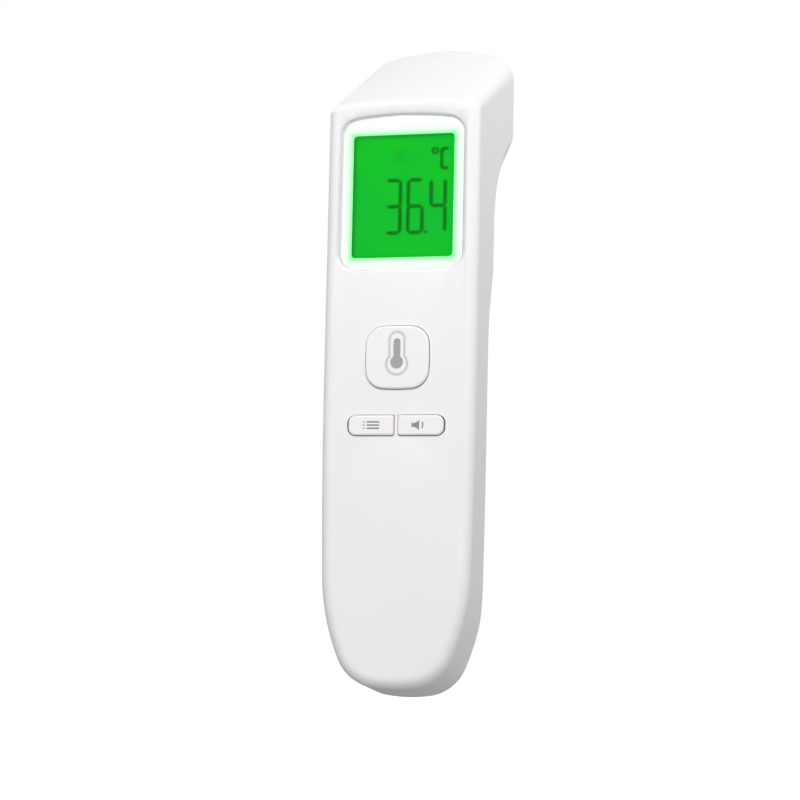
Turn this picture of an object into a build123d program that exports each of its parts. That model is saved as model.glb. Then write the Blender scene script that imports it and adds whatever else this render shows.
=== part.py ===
"""Non-contact infrared thermometer: a hammer-shaped hand-held body, in millimetres.

The body stands upright: +Z runs up its length, the display faces -Y and the sensor faces +Y.
The origin is the centre of the bounding box at its lowest point.
"""
import os
from math import atan2, cos, hypot, radians, sin

from build123d import *

# ---- housing, outside ----
half_width = 18.0          # side wall of the body from its middle plane
face_top = 139.3           # height where the face meets the sloping top, at its sides
rear_top = 157.4           # height where the sloping top meets the back of the head
head_depth = 43.0          # face to back of the head
back_flare = 1.5           # the handle's back is this much further out just under the head
neck_z = 119.8             # height where the handle's back meets the head's underside
under_z = 134.5            # height where the head's underside meets the back of the head
top_crown = 3.0            # rise of the sloping top from its sides to its middle
end_lift = 3.0             # the lower end rises by this much towards the face
neck_radius = 18.0
heel_radius = 6.0          # lower back corner of the head
shoulder_radius = 6.5      # long upper corners of the head
face_radius = 3.0          # rounding of the edge all round the face
back_radius = 4.5          # rounding of the edges of the back
handle_radius = 9.0        # larger rounding of the handle's back corners
handle_bite = 0.5          # those corners begin this much before they would be tangent
runout_z, runout_radius, runout_turn = 83.0, 95.0, 12.0   # where that rounding leaves the body
end_crown_radius = 34.0    # lower end, seen from the front: crown, corner, flank, taper
end_corner_radius = 10.4
taper_radius = 1750.0
end_crown_turn = 8.7
end_corner_turn = 57.8
taper_turn = 1.6
wall = 2.0
join = 0.3                 # added features start this far inside the wall they grow from

# ---- parting between the covers ----
part_depth = 15.0          # in the handle
head_part_rear = 6.5       # parting to the back of the head
part_bend_z = 110.0        # the parting leaves the handle's line here
head_part_z = 136.0        # and reaches the head's line here
part_radius = 12.0
door_half = 12.5
door_over = 4.7            # the door's top edge above the tray
door_gap = 0.15

# ---- display ----
window_w, window_h, window_z = 28.9, 37.4, 115.3      # rim of the recess in the face
window_corner = 4.4
window_arch = 1.2          # rise of the top edge from its corners to its middle
rim_bevel = 0.7
lens_t = 1.2
lens_gap = 0.08
ledge = 1.2                # width of the seat under the lens
seat_t = 1.3               # thickness of that seat
seat_border = 1.2          # inner pad past the recess
lcd_w, lcd_h, lcd_z = 23.9, 28.65, 114.6              # visible area
lcd_corner = 0.9
mask_t = 0.1
panel_border, panel_t, panel_chamfer = 0.9, 1.8, 0.4
guide_t = 0.8
holder_wall = 1.1
fit_gap = 0.1

# ---- buttons ----
button_w, button_h, button_z, button_corner = 15.2, 14.8, 76.9, 4.4
button_bow = 0.5           # each side of the button swells by this much
key_w, key_h, key_z, key_corner = 10.9, 4.9, 61.4, 1.7
key_rib = 0.7              # bar of the face between the two keys
key_inner_corner = 0.6
button_proud = 0.7
key_proud = 0.65
button_round, key_round = 0.5, 0.45                   # edges of the caps
button_gap = 0.15
flange = 0.75
flange_t = 0.8
flange_gap = 0.1
press_travel = 0.35

# ---- circuit board ----
board_depth = 5.9          # face to the board's front
board_t = 1.2
board_half = 12.8
board_low, board_high = 54.0, 133.5
corner_r = 1.1
board_clear = 0.3          # board to the bosses it passes
boss_x, boss_r = 10.6, 2.1                             # bosses for the board
case_boss_x = 8.6                                      # and for the rear cover
case_boss_z = 91.0
board_boss_over = 5.2      # board screws above the tray
screw_r, screw_head_r, screw_head_t = 0.9, 1.8, 1.2
slot_len, slot_w = 1.9, 0.45
screw_bite = 6.0           # thread of a case screw in the front cover's boss
board_screw_bite = 2.6
screw_cover = 0.6          # the case screws' heads lie this far into the wall
boss_floor = 0.4           # left under a pilot hole
pilot_gap = 0.05
switch_side, switch_t, switch_floor, plunger_r = 6.0, 2.0, 0.5, 1.6
switch_bevel = 0.4
plunger_tip = 0.7          # of the plunger stands out of its switch
stem_step = 0.2            # the cap's stem is this much thinner than the plunger
key_switch_side = 4.2
plunger_gap = 0.05

# ---- cells and their tray ----
cell_r, cell_len, cell_nub_r, cell_nub = 5.25, 43.7, 1.9, 0.8
cell_round, nub_round = 0.8, 0.5                       # bevels at a cell's ends
cell_pitch = 11.6
cell_clear = 0.25
cell_end_play = 0.3
cell_back_gap = 0.05       # cells to the wall behind, extended to the lower end
tray_wall, tray_floor, tray_gap = 1.1, 0.95, 0.15
tray_back_gap = 0.6
tray_corner, tray_chamfer = 1.5, 1.2
tray_low = 12.0
spring_len, spring_r, wire_r, spring_turns = 2.6, 3.3, 0.3, 2.5
spring_gap = 0.05
contact_t, contact_w, contact_h, strap_w = 0.35, 7.2, 8.0, 3.0

# ---- sensor ----
sensor_z = 145.2
ring_r, ring_flange_r, ring_flange_t = 5.6, 6.8, 1.4
ring_len = 7.5
ring_sunk = 0.3
recess_r, recess_low_r = 4.6, 3.1
barrel_r, barrel_len = 4.2, 5.6
can_r, can_len, can_flange_r, can_flange_t = 2.3, 3.2, 2.7, 0.4
can_sunk, can_lead_r = 1.0, 0.9
sensor_board_r, sensor_board_t = 4.6, 1.0

tray_front = board_depth + board_t + tray_gap
cell_depth = tray_front + tray_floor + cell_clear + cell_r    # face to the cells' axes
end_depth = cell_depth + cell_r + cell_back_gap + wall        # handle's back at its lower end
neck_depth = end_depth + back_flare                           # and just under the head
bay_len = cell_len + cell_nub + spring_len + 2 * contact_t + cell_end_play
tray_high = tray_low + 2 * tray_wall + bay_len
door_top = tray_high + door_over
board_boss_z = tray_high + board_boss_over
head_part_depth = head_depth - head_part_rear

face_y = -(head_depth - button_proud) / 2      # the box's middle plane is y = 0
slope = atan2(rear_top - face_top, head_depth)
top_radius = (half_width ** 2 + top_crown ** 2) / (2 * top_crown)
brow_half = 1.5 * half_width
brow_drop = top_crown - top_radius + (top_radius ** 2 - brow_half ** 2) ** 0.5
shear = end_lift / end_depth
low_point = back_radius * (shear + hypot(1, shear) - 1)       # the rear rounding takes this off the end
sky = 2 * rear_top         # a height well above the body
os.makedirs("parts", exist_ok=True)


def face_plane(depth=0.0):
    """Plane parallel to the face, that far behind it; its normal points out of the face."""
    return Plane.XZ.offset(-(face_y + depth))


def back_depth(z):
    """Depth of the handle's back at a height."""
    return end_depth + (neck_depth - end_depth) * z / neck_z


def save(piece, name):
    piece.part.label = name
    export_step(piece.part, f"parts/{name}.step")


def corner_cutter(inset):
    """What the larger rounding takes off a back corner of the handle, ending in a run-out."""
    low_z = -2 * wall
    corner_x, corner_y = half_width - inset, face_y + back_depth(low_z) - inset
    bend = handle_radius - inset
    start = bend + handle_bite
    middle = bend * (1 - cos(radians(45)))
    up = Vector(0, neck_depth - end_depth, neck_z).normalized()
    foot = Vector(corner_x, corner_y, low_z)
    out = Vector(1, 1, 0).normalized()
    with BuildPart() as cutter:
        with BuildLine(Plane(origin=foot, x_dir=up, z_dir=up.cross(out))):
            stem = Line((0, 0), ((runout_z - low_z) / up.Z, 0))
            JernArc(stem @ 1, stem % 1, runout_radius, runout_turn)
        with BuildSketch(Plane(origin=foot, x_dir=(1, 0, 0), z_dir=up)):
            with BuildLine():
                bow = ThreePointArc((0, -start), (-middle, -middle), (-start, 0))
                Polyline(bow @ 1, (-start, wall), (wall, wall), (wall, -start), bow @ 0)
            make_face()
        sweep()
    return cutter.part


# ---- the body's outer form, or the same form drawn in by the wall ----
def body_form(inset, front_radius, rear_radius):
    # end crown, corner, flank and taper are tangent arcs from the lowest point up to the side wall
    corner_end = end_crown_turn + end_corner_turn
    flank_end = 90 - taper_turn
    x_corner = (end_crown_radius * sin(radians(end_crown_turn))
                + end_corner_radius * (sin(radians(corner_end)) - sin(radians(end_crown_turn))))
    x_flank = half_width - taper_radius * (1 - sin(radians(flank_end)))
    flank_radius = (x_flank - x_corner) / (sin(radians(flank_end)) - sin(radians(corner_end)))
    with BuildPart() as body:
        with BuildSketch(face_plane()):
            with BuildLine():
                crown = JernArc((0, end_lift - low_point), (1, 0), end_crown_radius, end_crown_turn)
                corner = JernArc(crown @ 1, crown % 1, end_corner_radius, end_corner_turn)
                flank = JernArc(corner @ 1, corner % 1, flank_radius, flank_end - corner_end)
                taper = JernArc(flank @ 1, flank % 1, taper_radius, taper_turn)
                side = Line(taper @ 1, (half_width, sky))
                Line(side @ 1, (0, sky))
                mirror(about=Plane.YZ)
            make_face()
            if inset:
                offset(amount=-inset)
        extrude(amount=head_depth * hypot(1, shear), dir=(0, 1, -shear))
        with BuildSketch(Plane.YZ.offset(-head_depth)):
            with BuildLine():
                low_back = end_depth - (neck_depth - end_depth) / neck_z * head_depth
                Polyline((face_y, -head_depth), (face_y, sky), (face_y + head_depth, sky),
                         (face_y + head_depth, under_z), (face_y + neck_depth, neck_z),
                         (face_y + low_back, -head_depth), close=True)
            make_face()
            heel = Vector(face_y + head_depth, under_z)
            neck = Vector(face_y + neck_depth, neck_z)
            fillet(vertices().sort_by_distance(heel)[0], heel_radius)
            fillet(vertices().sort_by_distance(neck)[0], neck_radius)
            if inset:
                offset(amount=-inset)
        extrude(amount=2 * head_depth, mode=Mode.INTERSECT)
        along = Plane(origin=(0, face_y, face_top), x_dir=(1, 0, 0),
                      z_dir=(0, -cos(slope), -sin(slope)))
        with BuildSketch(along.offset(-sky)):
            with BuildLine():
                brow = ThreePointArc((-brow_half, brow_drop), (0, top_crown), (brow_half, brow_drop))
                Polyline(brow @ 1, (brow_half, -sky), (-brow_half, -sky), brow @ 0)
            make_face()
            if inset:
                offset(amount=-inset)
        extrude(amount=2 * sky, mode=Mode.INTERSECT)
        down_slope = Vector(0, cos(slope), sin(slope))
        sides = Vector(0, 1, -shear).normalized()

        def runs_along(edge, way):
            return edge.geom_type == GeomType.LINE and abs((edge % 0.5).dot(way)) > 0.9999

        fillet(body.edges().filter_by(lambda edge: runs_along(edge, down_slope)), shoulder_radius - inset)
        loop = body.edges().filter_by(
            lambda edge: edge.center().Y > face_y + inset + 0.5
            and not any(runs_along(edge, way) for way in (Vector(1, 0, 0), sides, down_slope)))
        if rear_radius:
            fillet(loop, rear_radius)
        if front_radius:
            fillet(body.faces().sort_by(Axis.Y)[0].edges(), front_radius)
        cutter = corner_cutter(inset)
        add(cutter, mode=Mode.SUBTRACT)
        add(mirror(cutter, about=Plane.YZ), mode=Mode.SUBTRACT)
    return body.part


outer = body_form(0, face_radius, back_radius)
cavity = body_form(wall, 0, back_radius - wall)

with BuildPart() as front_zone:      # everything in front of the parting
    with BuildSketch(Plane.YZ.offset(-head_depth)):
        with BuildLine():
            Polyline((face_y - wall, -sky), (face_y + part_depth, -sky),
                     (face_y + part_depth, part_bend_z), (face_y + head_part_depth, head_part_z),
                     (face_y + head_part_depth, sky), (face_y - wall, sky), close=True)
        make_face()
        bends = [(face_y + part_depth, part_bend_z), (face_y + head_part_depth, head_part_z)]
        fillet([vertices().sort_by_distance(bend)[0] for bend in bends], part_radius)
    extrude(amount=2 * head_depth)


def window_outline(grow=0.0):
    """The window seen from the front: rounded corners under an arched top."""
    side, low, high = window_w / 2, window_z - window_h / 2, window_z + window_h / 2
    with BuildLine() as edge:
        arch = ThreePointArc((-side, high - window_arch), (0, high), (side, high - window_arch))
        Polyline(arch @ 1, (side, low), (-side, low), arch @ 0)
    make_face(edge.edges())
    fillet(vertices(), window_corner)
    if grow:
        offset(amount=grow)


def button_outline(grow=0.0):
    """The measure button seen from the front: every side swells a little."""
    half_w, half_h = button_w / 2 + grow, button_h / 2 + grow
    corner_w, corner_h = half_w - button_bow, half_h - button_bow
    with BuildLine() as edge:
        for side in (-1, 1):
            ThreePointArc((-corner_w, button_z + side * corner_h), (0, button_z + side * half_h),
                          (corner_w, button_z + side * corner_h))
            ThreePointArc((side * corner_w, button_z - corner_h), (side * half_w, button_z),
                          (side * corner_w, button_z + corner_h))
    make_face(edge.edges())
    fillet(vertices(), button_corner + grow)


def rounded(width, height, corner, at=(0, 0)):
    with Locations(at):
        RectangleRounded(width, height, corner)


def key_centre(side):
    return (side * (key_rib + key_w) / 2, key_z)


def key_outline(side, grow=0.0):
    """A key, seen from the front: rounded outer corners, nearly square ones at the rib."""
    reach = min(grow, key_rib / 2 - button_gap)      # towards the rib
    low = key_rib / 2 + button_gap - reach
    high = key_rib / 2 + key_w - button_gap + grow
    tall = key_h - 2 * button_gap + 2 * grow
    with Locations((side * (low + high) / 2, key_z)):
        Rectangle(high - low, tall)
    fillet(vertices().filter_by(lambda v: abs(v.X) > (low + high) / 2), key_corner + grow)
    fillet(vertices().filter_by(lambda v: abs(abs(v.X) - low) < 0.01), key_inner_corner)


def boss(x, z, tip_depth):
    """Screw boss on the inside of the face, with its pilot hole."""
    with BuildSketch(face_plane(wall - join)) as post:
        with Locations((x, z)):
            Circle(boss_r)
    extrude(post.sketch, amount=-(tip_depth - wall + join))
    with BuildSketch(face_plane(tip_depth)) as pilot:
        with Locations((x, z)):
            Circle(screw_r + pilot_gap)
    extrude(pilot.sketch, amount=tip_depth - wall - boss_floor, mode=Mode.SUBTRACT)


# ---- front cover ----
seat_depth = rim_bevel + lens_t                 # face to the lens's seat
with BuildPart() as front_cover:
    add(outer & front_zone.part)
    add(cavity, mode=Mode.SUBTRACT)
    with BuildSketch(face_plane(wall - join)):  # pad behind the window
        window_outline(seat_border)
    extrude(amount=-(seat_depth + seat_t - wall + join))
    for side in (-1, 1):
        boss(side * boss_x, board_boss_z, board_depth)
        boss(side * case_boss_x, case_boss_z, part_depth)
    with BuildSketch(face_plane()):             # bevelled rim of the window
        window_outline()
    extrude(amount=-rim_bevel, taper=45, mode=Mode.SUBTRACT)
    with BuildSketch(face_plane()):
        window_outline(-rim_bevel)
    extrude(amount=-seat_depth, mode=Mode.SUBTRACT)
    with BuildSketch(face_plane()):             # opening under the lens
        window_outline(-rim_bevel - ledge)
    extrude(amount=-2 * (seat_depth + seat_t), mode=Mode.SUBTRACT)
    with BuildSketch(face_plane(-wall)):
        button_outline()
    extrude(amount=-3 * wall, mode=Mode.SUBTRACT)
    for side in (-1, 1):
        with BuildSketch(face_plane(-wall)):
            key_outline(side, button_gap)
        extrude(amount=-3 * wall, mode=Mode.SUBTRACT)
save(front_cover, "front_cover")

# ---- rear cover and battery door ----
ring_seat_r = ring_flange_r + fit_gap
back_y = face_y + head_depth
case_head_depth = back_depth(case_boss_z) - wall - screw_head_t + screw_cover


def door_zone(half, top):
    with BuildPart() as zone:
        with BuildSketch(Plane.XY.offset(-wall)):
            with Locations((0, face_y + part_depth + head_depth / 2)):
                Rectangle(2 * half, head_depth)
        extrude(amount=top + wall)
    return zone.part


with BuildPart() as rear_cover:
    add(outer - front_zone.part)
    add(cavity, mode=Mode.SUBTRACT)
    for x in (-case_boss_x, case_boss_x):
        with BuildSketch(face_plane(part_depth)):       # bosses that meet the front cover's
            with Locations((x, case_boss_z)):
                Circle(boss_r + screw_head_t)
        extrude(amount=-(case_head_depth + screw_head_t - part_depth))
        with BuildSketch(face_plane(part_depth)):
            with Locations((x, case_boss_z)):
                Circle(screw_r + fit_gap)
        extrude(amount=-head_depth, mode=Mode.SUBTRACT)
        with BuildSketch(face_plane(case_head_depth)):
            with Locations((x, case_boss_z)):
                Circle(screw_head_r + fit_gap)
        extrude(amount=-head_depth, mode=Mode.SUBTRACT)
    add(door_zone(door_half, door_top), mode=Mode.SUBTRACT)
    with BuildSketch(Plane.XZ.offset(-back_y)):         # seat and hole of the sensor ring
        with Locations((0, sensor_z)):
            Circle(ring_seat_r)
    extrude(amount=ring_sunk + ring_flange_t, mode=Mode.SUBTRACT)
    with BuildSketch(Plane.XZ.offset(-back_y)):
        with Locations((0, sensor_z)):
            Circle(ring_r + fit_gap)
    extrude(amount=2 * wall, mode=Mode.SUBTRACT)
save(rear_cover, "rear_cover")

grip_count, grip_pitch, grip_w, grip_t, grip_z = 5, 2.4, 12.0, 1.1, 50.0
tongue_w, tongue_len, tongue_t, tongue_root = 8.0, 2.4, 1.0, 0.5
with BuildPart() as battery_door:
    add(outer & door_zone(door_half - door_gap, door_top - door_gap))
    with BuildSketch(face_plane(part_depth + door_gap)):
        Rectangle(2 * sky, 2 * sky)
    extrude(amount=head_depth, mode=Mode.SUBTRACT)
    add(cavity, mode=Mode.SUBTRACT)
    for row in range(grip_count):                       # grip grooves across the back
        groove_z = grip_z + (row - (grip_count - 1) / 2) * grip_pitch
        with BuildSketch(Plane.YZ.offset(-grip_w / 2)):
            with Locations((face_y + back_depth(groove_z), groove_z)):
                Circle(grip_t / 2)
        extrude(amount=grip_w, mode=Mode.SUBTRACT)
    tongue_depth = back_depth(door_top) - wall - door_gap - tongue_t
    with BuildSketch(face_plane(tongue_depth)):         # tongue behind the cover's edge
        with Locations((0, door_top)):
            Rectangle(tongue_w, 2 * tongue_len)
    extrude(amount=-tongue_t)
    with BuildSketch(face_plane(tongue_depth)):
        with Locations((0, door_top - tongue_len - door_gap)):
            Rectangle(tongue_w, tongue_len)
    extrude(amount=-(tongue_t + 2 * door_gap + tongue_root))
save(battery_door, "battery_door")

# ---- window and display ----
with BuildPart() as display_window:
    with BuildSketch(face_plane(rim_bevel)):
        window_outline(-rim_bevel - lens_gap)
    extrude(amount=-(lens_t - mask_t))
save(display_window, "display_window")

with BuildPart() as window_mask:
    with BuildSketch(face_plane(seat_depth - mask_t)):
        window_outline(-rim_bevel - lens_gap)
        with Locations((0, lcd_z)):
            RectangleRounded(lcd_w, lcd_h, lcd_corner, mode=Mode.SUBTRACT)
    extrude(amount=-mask_t)
save(window_mask, "window_mask")

module_depth = seat_depth + seat_t              # face to the front of the display module
panel_w, panel_h = lcd_w + 2 * panel_border, lcd_h + 2 * panel_border
guide_depth = module_depth + panel_t


def module_plate(width, height, depth, thickness):
    with BuildSketch(face_plane(depth)) as plate:
        with Locations((0, lcd_z)):
            Rectangle(width, height)
    extrude(plate.sketch, amount=-thickness)


with BuildPart() as lcd_panel:
    module_plate(panel_w, panel_h, module_depth, panel_t)
    chamfer(lcd_panel.edges().filter_by(Axis.Y), panel_chamfer)
save(lcd_panel, "lcd_panel")

with BuildPart() as backlight_guide:
    module_plate(panel_w, panel_h, guide_depth, board_depth - guide_depth)
save(backlight_guide, "backlight_guide")

with BuildPart() as lcd_holder:
    outside = (panel_w + 2 * (holder_wall + fit_gap), panel_h + 2 * (holder_wall + fit_gap))
    module_plate(*outside, module_depth, board_depth - module_depth)
    fillet(lcd_holder.edges().filter_by(Axis.Y), corner_r)
    with BuildSketch(face_plane(module_depth)):
        with Locations((0, lcd_z)):
            Rectangle(panel_w + 2 * fit_gap, panel_h + 2 * fit_gap)
    extrude(amount=-head_depth, mode=Mode.SUBTRACT)
save(lcd_holder, "lcd_holder")

# ---- circuit board and what it carries ----
back_of_board = board_depth + board_t
with BuildPart() as circuit_board:
    with BuildSketch(face_plane(board_depth)):
        rounded(2 * board_half, board_high - board_low, corner_r,
                (0, (board_high + board_low) / 2))
        for side in (-1, 1):
            with Locations((side * case_boss_x, case_boss_z)):
                Circle(boss_r + board_clear, mode=Mode.SUBTRACT)
            with Locations((side * (case_boss_x + board_half / 2), case_boss_z)):
                Rectangle(board_half, 2 * (boss_r + board_clear), mode=Mode.SUBTRACT)
            with Locations((side * boss_x, board_boss_z)):
                Circle(screw_r + fit_gap, mode=Mode.SUBTRACT)
    extrude(amount=-board_t)
save(circuit_board, "circuit_board")

chip_side, chip_t, chip_z = 10.0, 1.4, 112.0
lead_count, lead_pitch, lead_w, lead_len, lead_join = 11, 0.8, 0.35, 0.9, 0.1
chip_bevel, buzzer_round, crystal_round = 0.2, 0.5, 0.3
with BuildPart() as controller_chip:
    with BuildSketch(face_plane(back_of_board)):
        with Locations((0, chip_z)):
            Rectangle(chip_side, chip_side)
    extrude(amount=-chip_t)
    chamfer(controller_chip.faces().sort_by(Axis.Y)[-1].edges(), chip_bevel)
    for turn in range(4):
        with BuildSketch(face_plane(back_of_board)):
            with Locations((0, chip_z)):
                with PolarLocations((chip_side + lead_len - lead_join) / 2, 1, 90 * turn):
                    with GridLocations(lead_len, lead_pitch, 1, lead_count):
                        Rectangle(lead_len + lead_join, lead_w)
        extrude(amount=-chip_t / 3)
save(controller_chip, "controller_chip")

buzzer_r, buzzer_t, buzzer_z = 6.0, 3.0, 80.0
with BuildPart() as buzzer:
    with BuildSketch(face_plane(back_of_board)):
        with Locations((0, buzzer_z)):
            Circle(buzzer_r)
    extrude(amount=-buzzer_t)
    fillet(buzzer.faces().sort_by(Axis.Y)[-1].edges(), buzzer_round)
    with BuildSketch(face_plane(back_of_board + buzzer_t)):
        with Locations((0, buzzer_z)):
            Circle(buzzer_r / 6)
    extrude(amount=buzzer_t / 3, mode=Mode.SUBTRACT)
save(buzzer, "buzzer")

crystal_w, crystal_h, crystal_t, crystal_z = 7.0, 3.0, 1.8, 100.0
with BuildPart() as clock_crystal:
    with BuildSketch(face_plane(back_of_board)):
        with Locations((0, crystal_z)):
            SlotOverall(crystal_w, crystal_h)
    extrude(amount=-crystal_t)
    fillet(clock_crystal.faces().sort_by(Axis.Y)[-1].edges(), crystal_round)
save(clock_crystal, "clock_crystal")

# ---- buttons, their switches and plungers ----
plunger_top = board_depth - switch_t - plunger_tip    # depth of a plunger's tip at rest
stem_r = plunger_r - stem_step


def press_piece(outline, flanged, proud, centre):
    """Cap through the cover, flange behind it and a stem down to the plunger."""
    with BuildSketch(face_plane(-proud)) as cap:
        outline()
    extrude(cap.sketch, amount=-(proud + wall + flange_gap + flange_t))
    with BuildSketch(face_plane(wall + flange_gap)) as rim:
        flanged()
    extrude(rim.sketch, amount=-flange_t)
    with BuildSketch(face_plane(wall + flange_gap)) as stem:
        with Locations(centre):
            Circle(stem_r)
    extrude(stem.sketch, amount=-(plunger_top - wall - flange_gap))


with BuildPart() as measure_button:
    press_piece(lambda: button_outline(-button_gap), lambda: button_outline(flange),
                button_proud, (0, button_z))
    fillet(measure_button.faces().sort_by(Axis.Y)[0].edges(), button_round)
save(measure_button, "measure_button")

for side, name in ((-1, "memory_key"), (1, "sound_key")):
    with BuildPart() as key:
        press_piece(lambda: key_outline(side), lambda: key_outline(side, flange),
                    key_proud, key_centre(side))
        fillet(key.faces().sort_by(Axis.Y)[0].edges(), key_round)
    save(key, name)

switches = (("measure", (0, button_z), switch_side), ("memory", key_centre(-1), key_switch_side),
            ("sound", key_centre(1), key_switch_side))
for name, centre, side_len in switches:
    bore_r = plunger_r + plunger_gap
    with BuildPart() as switch:
        with BuildSketch(face_plane(board_depth - switch_t)):
            with Locations(centre):
                Rectangle(side_len, side_len)
        extrude(amount=-switch_t)
        chamfer(switch.edges().filter_by(Axis.Y), switch_bevel)
        with BuildSketch(face_plane(board_depth - switch_t)):
            with Locations(centre):
                Circle(bore_r)
        extrude(amount=-(switch_t - switch_floor), mode=Mode.SUBTRACT)
    save(switch, f"{name}_switch")
    with BuildPart() as plunger:
        with BuildSketch(face_plane(plunger_top)):
            with Locations(centre):
                Circle(plunger_r)
        extrude(amount=-(board_depth - switch_floor - press_travel - 2 * plunger_gap - plunger_top))
    save(plunger, f"{name}_plunger")

# ---- screws ----


def screw(x, z, head_from_face, length):
    """Pan-head screw driven from behind towards the face."""
    with BuildSketch(face_plane(head_from_face)) as head:
        with Locations((x, z)):
            Circle(screw_head_r)
    extrude(head.sketch, amount=-screw_head_t)
    with BuildSketch(face_plane(head_from_face)) as shank:
        with Locations((x, z)):
            Circle(screw_r)
    extrude(shank.sketch, amount=length)
    with BuildSketch(face_plane(head_from_face + screw_head_t)) as cross:
        with Locations((x, z)):
            Rectangle(slot_len, slot_w)
            Rectangle(slot_w, slot_len)
    extrude(cross.sketch, amount=screw_head_t / 2, mode=Mode.SUBTRACT)


with BuildPart() as case_screws:
    for x in (-case_boss_x, case_boss_x):
        screw(x, case_boss_z, case_head_depth, case_head_depth - part_depth + screw_bite)
save(case_screws, "case_screws")

with BuildPart() as board_screws:
    for x in (-boss_x, boss_x):
        screw(x, board_boss_z, back_of_board, board_t + board_screw_bite)
save(board_screws, "board_screws")

# ---- battery tray, cells and contacts ----
cell_x = cell_pitch / 2
tray_half = cell_x + cell_r + cell_clear + tray_wall
bay_low, bay_high = tray_low + tray_wall, tray_high - tray_wall
tray_back = back_depth(tray_low) - wall - tray_back_gap
with BuildPart() as battery_tray:
    with BuildSketch(face_plane(tray_front)):
        rounded(2 * tray_half, tray_high - tray_low, tray_corner, (0, (tray_low + tray_high) / 2))
    extrude(amount=-(tray_back - tray_front))
    chamfer(battery_tray.faces().sort_by(Axis.Y)[-1].edges().filter_by(Axis.Z), tray_chamfer)
    for x in (-cell_x, cell_x):
        with BuildSketch(Plane.XY.offset(bay_low)):
            with Locations((x, face_y + cell_depth)):
                Circle(cell_r + cell_clear)
            with Locations((x, face_y + cell_depth + cell_r)):
                Rectangle(2 * (cell_r + cell_clear), 2 * cell_r)
        extrude(amount=bay_high - bay_low, mode=Mode.SUBTRACT)
    with BuildSketch(Plane.XY.offset(bay_high - 2 * contact_t)):     # notch for the bridge
        with Locations((0, face_y + cell_depth)):
            Rectangle(cell_pitch, strap_w + 2 * fit_gap)
    extrude(amount=2 * contact_t, mode=Mode.SUBTRACT)
save(battery_tray, "battery_tray")

contact_low = bay_low                           # contact plates stand against the end walls
contact_high = bay_high - contact_t
cell_starts = {"left": contact_low + contact_t + spring_len,
               "right": contact_low + contact_t + cell_nub}
for name, x, nub_up in (("left", -cell_x, True), ("right", cell_x, False)):
    low = cell_starts[name]
    with BuildPart() as cell:
        with BuildSketch(Plane.XZ.offset(-(face_y + cell_depth))):
            with BuildLine():
                start, tip = (low, low + cell_len) if nub_up else (low + cell_len, low)
                way = 1 if nub_up else -1
                Polyline((x, start), (x + cell_r - cell_round, start),
                         (x + cell_r, start + nub_round * way), (x + cell_r, tip - nub_round * way),
                         (x + cell_r - cell_round, tip),
                         (x + cell_nub_r, tip), (x + cell_nub_r, tip + cell_nub * way),
                         (x, tip + cell_nub * way), close=True)
            make_face()
        revolve(axis=Axis((x, face_y + cell_depth, 0), (0, 0, 1)))
    save(cell, f"cell_{name}")


def contact(x, z, width=contact_w, tall=contact_h):
    with BuildSketch(Plane.XY.offset(z)) as leaf:
        with Locations((x, face_y + cell_depth)):
            Rectangle(width, tall)
    extrude(leaf.sketch, amount=contact_t)


with BuildPart() as contact_positive:
    contact(cell_x, contact_low)
save(contact_positive, "contact_positive")

with BuildPart() as contact_negative:
    contact(-cell_x, contact_low)
save(contact_negative, "contact_negative")

with BuildPart() as contact_bridge:
    contact(-cell_x, contact_high)
    contact(cell_x, contact_high)
    contact(0, contact_high, cell_pitch, strap_w)
save(contact_bridge, "contact_bridge")


def coil(x, low, height):
    """Compression spring of round wire between a contact plate and a cell."""
    rise = height - 2 * (wire_r + spring_gap)
    with BuildPart() as spring:
        with BuildLine(Plane(origin=(x, face_y + cell_depth, low + wire_r + spring_gap))):
            turns = Helix(pitch=rise / spring_turns, height=rise, radius=spring_r)
        with BuildSketch(Plane(origin=turns @ 0, z_dir=turns % 0)):
            RegularPolygon(wire_r, 6)
        sweep()
    return spring


save(coil(-cell_x, contact_low + contact_t, spring_len), "spring_left")
right_top = cell_starts["right"] + cell_len
save(coil(cell_x, right_top, contact_high - right_top), "spring_right")

# ---- sensor in the back of the head ----


def turned(points):
    """Solid turned about the sensor's axis from (radius, depth from the back of the head)."""
    with BuildSketch(Plane.XY.offset(sensor_z)) as profile:
        with BuildLine():
            Polyline(*[(radius, back_y - depth) for radius, depth in points], close=True)
        make_face()
    revolve(profile.sketch, axis=Axis((0, 0, sensor_z), (0, 1, 0)))


ring_end = ring_sunk + ring_len
with BuildPart() as probe_ring:
    turned([(recess_r, ring_sunk), (ring_flange_r, ring_sunk),
            (ring_flange_r, ring_sunk + ring_flange_t), (ring_r, ring_sunk + ring_flange_t),
            (ring_r, ring_end), (recess_low_r, ring_end)])
save(probe_ring, "probe_ring")

barrel_end = ring_end + barrel_len
with BuildPart() as sensor_barrel:
    turned([(can_flange_r + fit_gap, ring_end), (barrel_r, ring_end), (barrel_r, barrel_end),
            (can_flange_r + fit_gap, barrel_end)])
save(sensor_barrel, "sensor_barrel")

can_front = ring_end + can_sunk
can_back = can_front + can_len
with BuildPart() as thermopile_can:
    turned([(0, can_front), (can_r, can_front), (can_r, can_back), (can_flange_r, can_back),
            (can_flange_r, can_back + can_flange_t), (can_lead_r, can_back + can_flange_t),
            (can_lead_r, barrel_end), (0, barrel_end)])
save(thermopile_can, "thermopile_can")

with BuildPart() as sensor_board:
    turned([(0, barrel_end), (sensor_board_r, barrel_end),
            (sensor_board_r, barrel_end + sensor_board_t), (0, barrel_end + sensor_board_t)])
save(sensor_board, "sensor_board")
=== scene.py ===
import math
import bmesh
import bpy
from mathutils import Matrix, Vector


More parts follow.
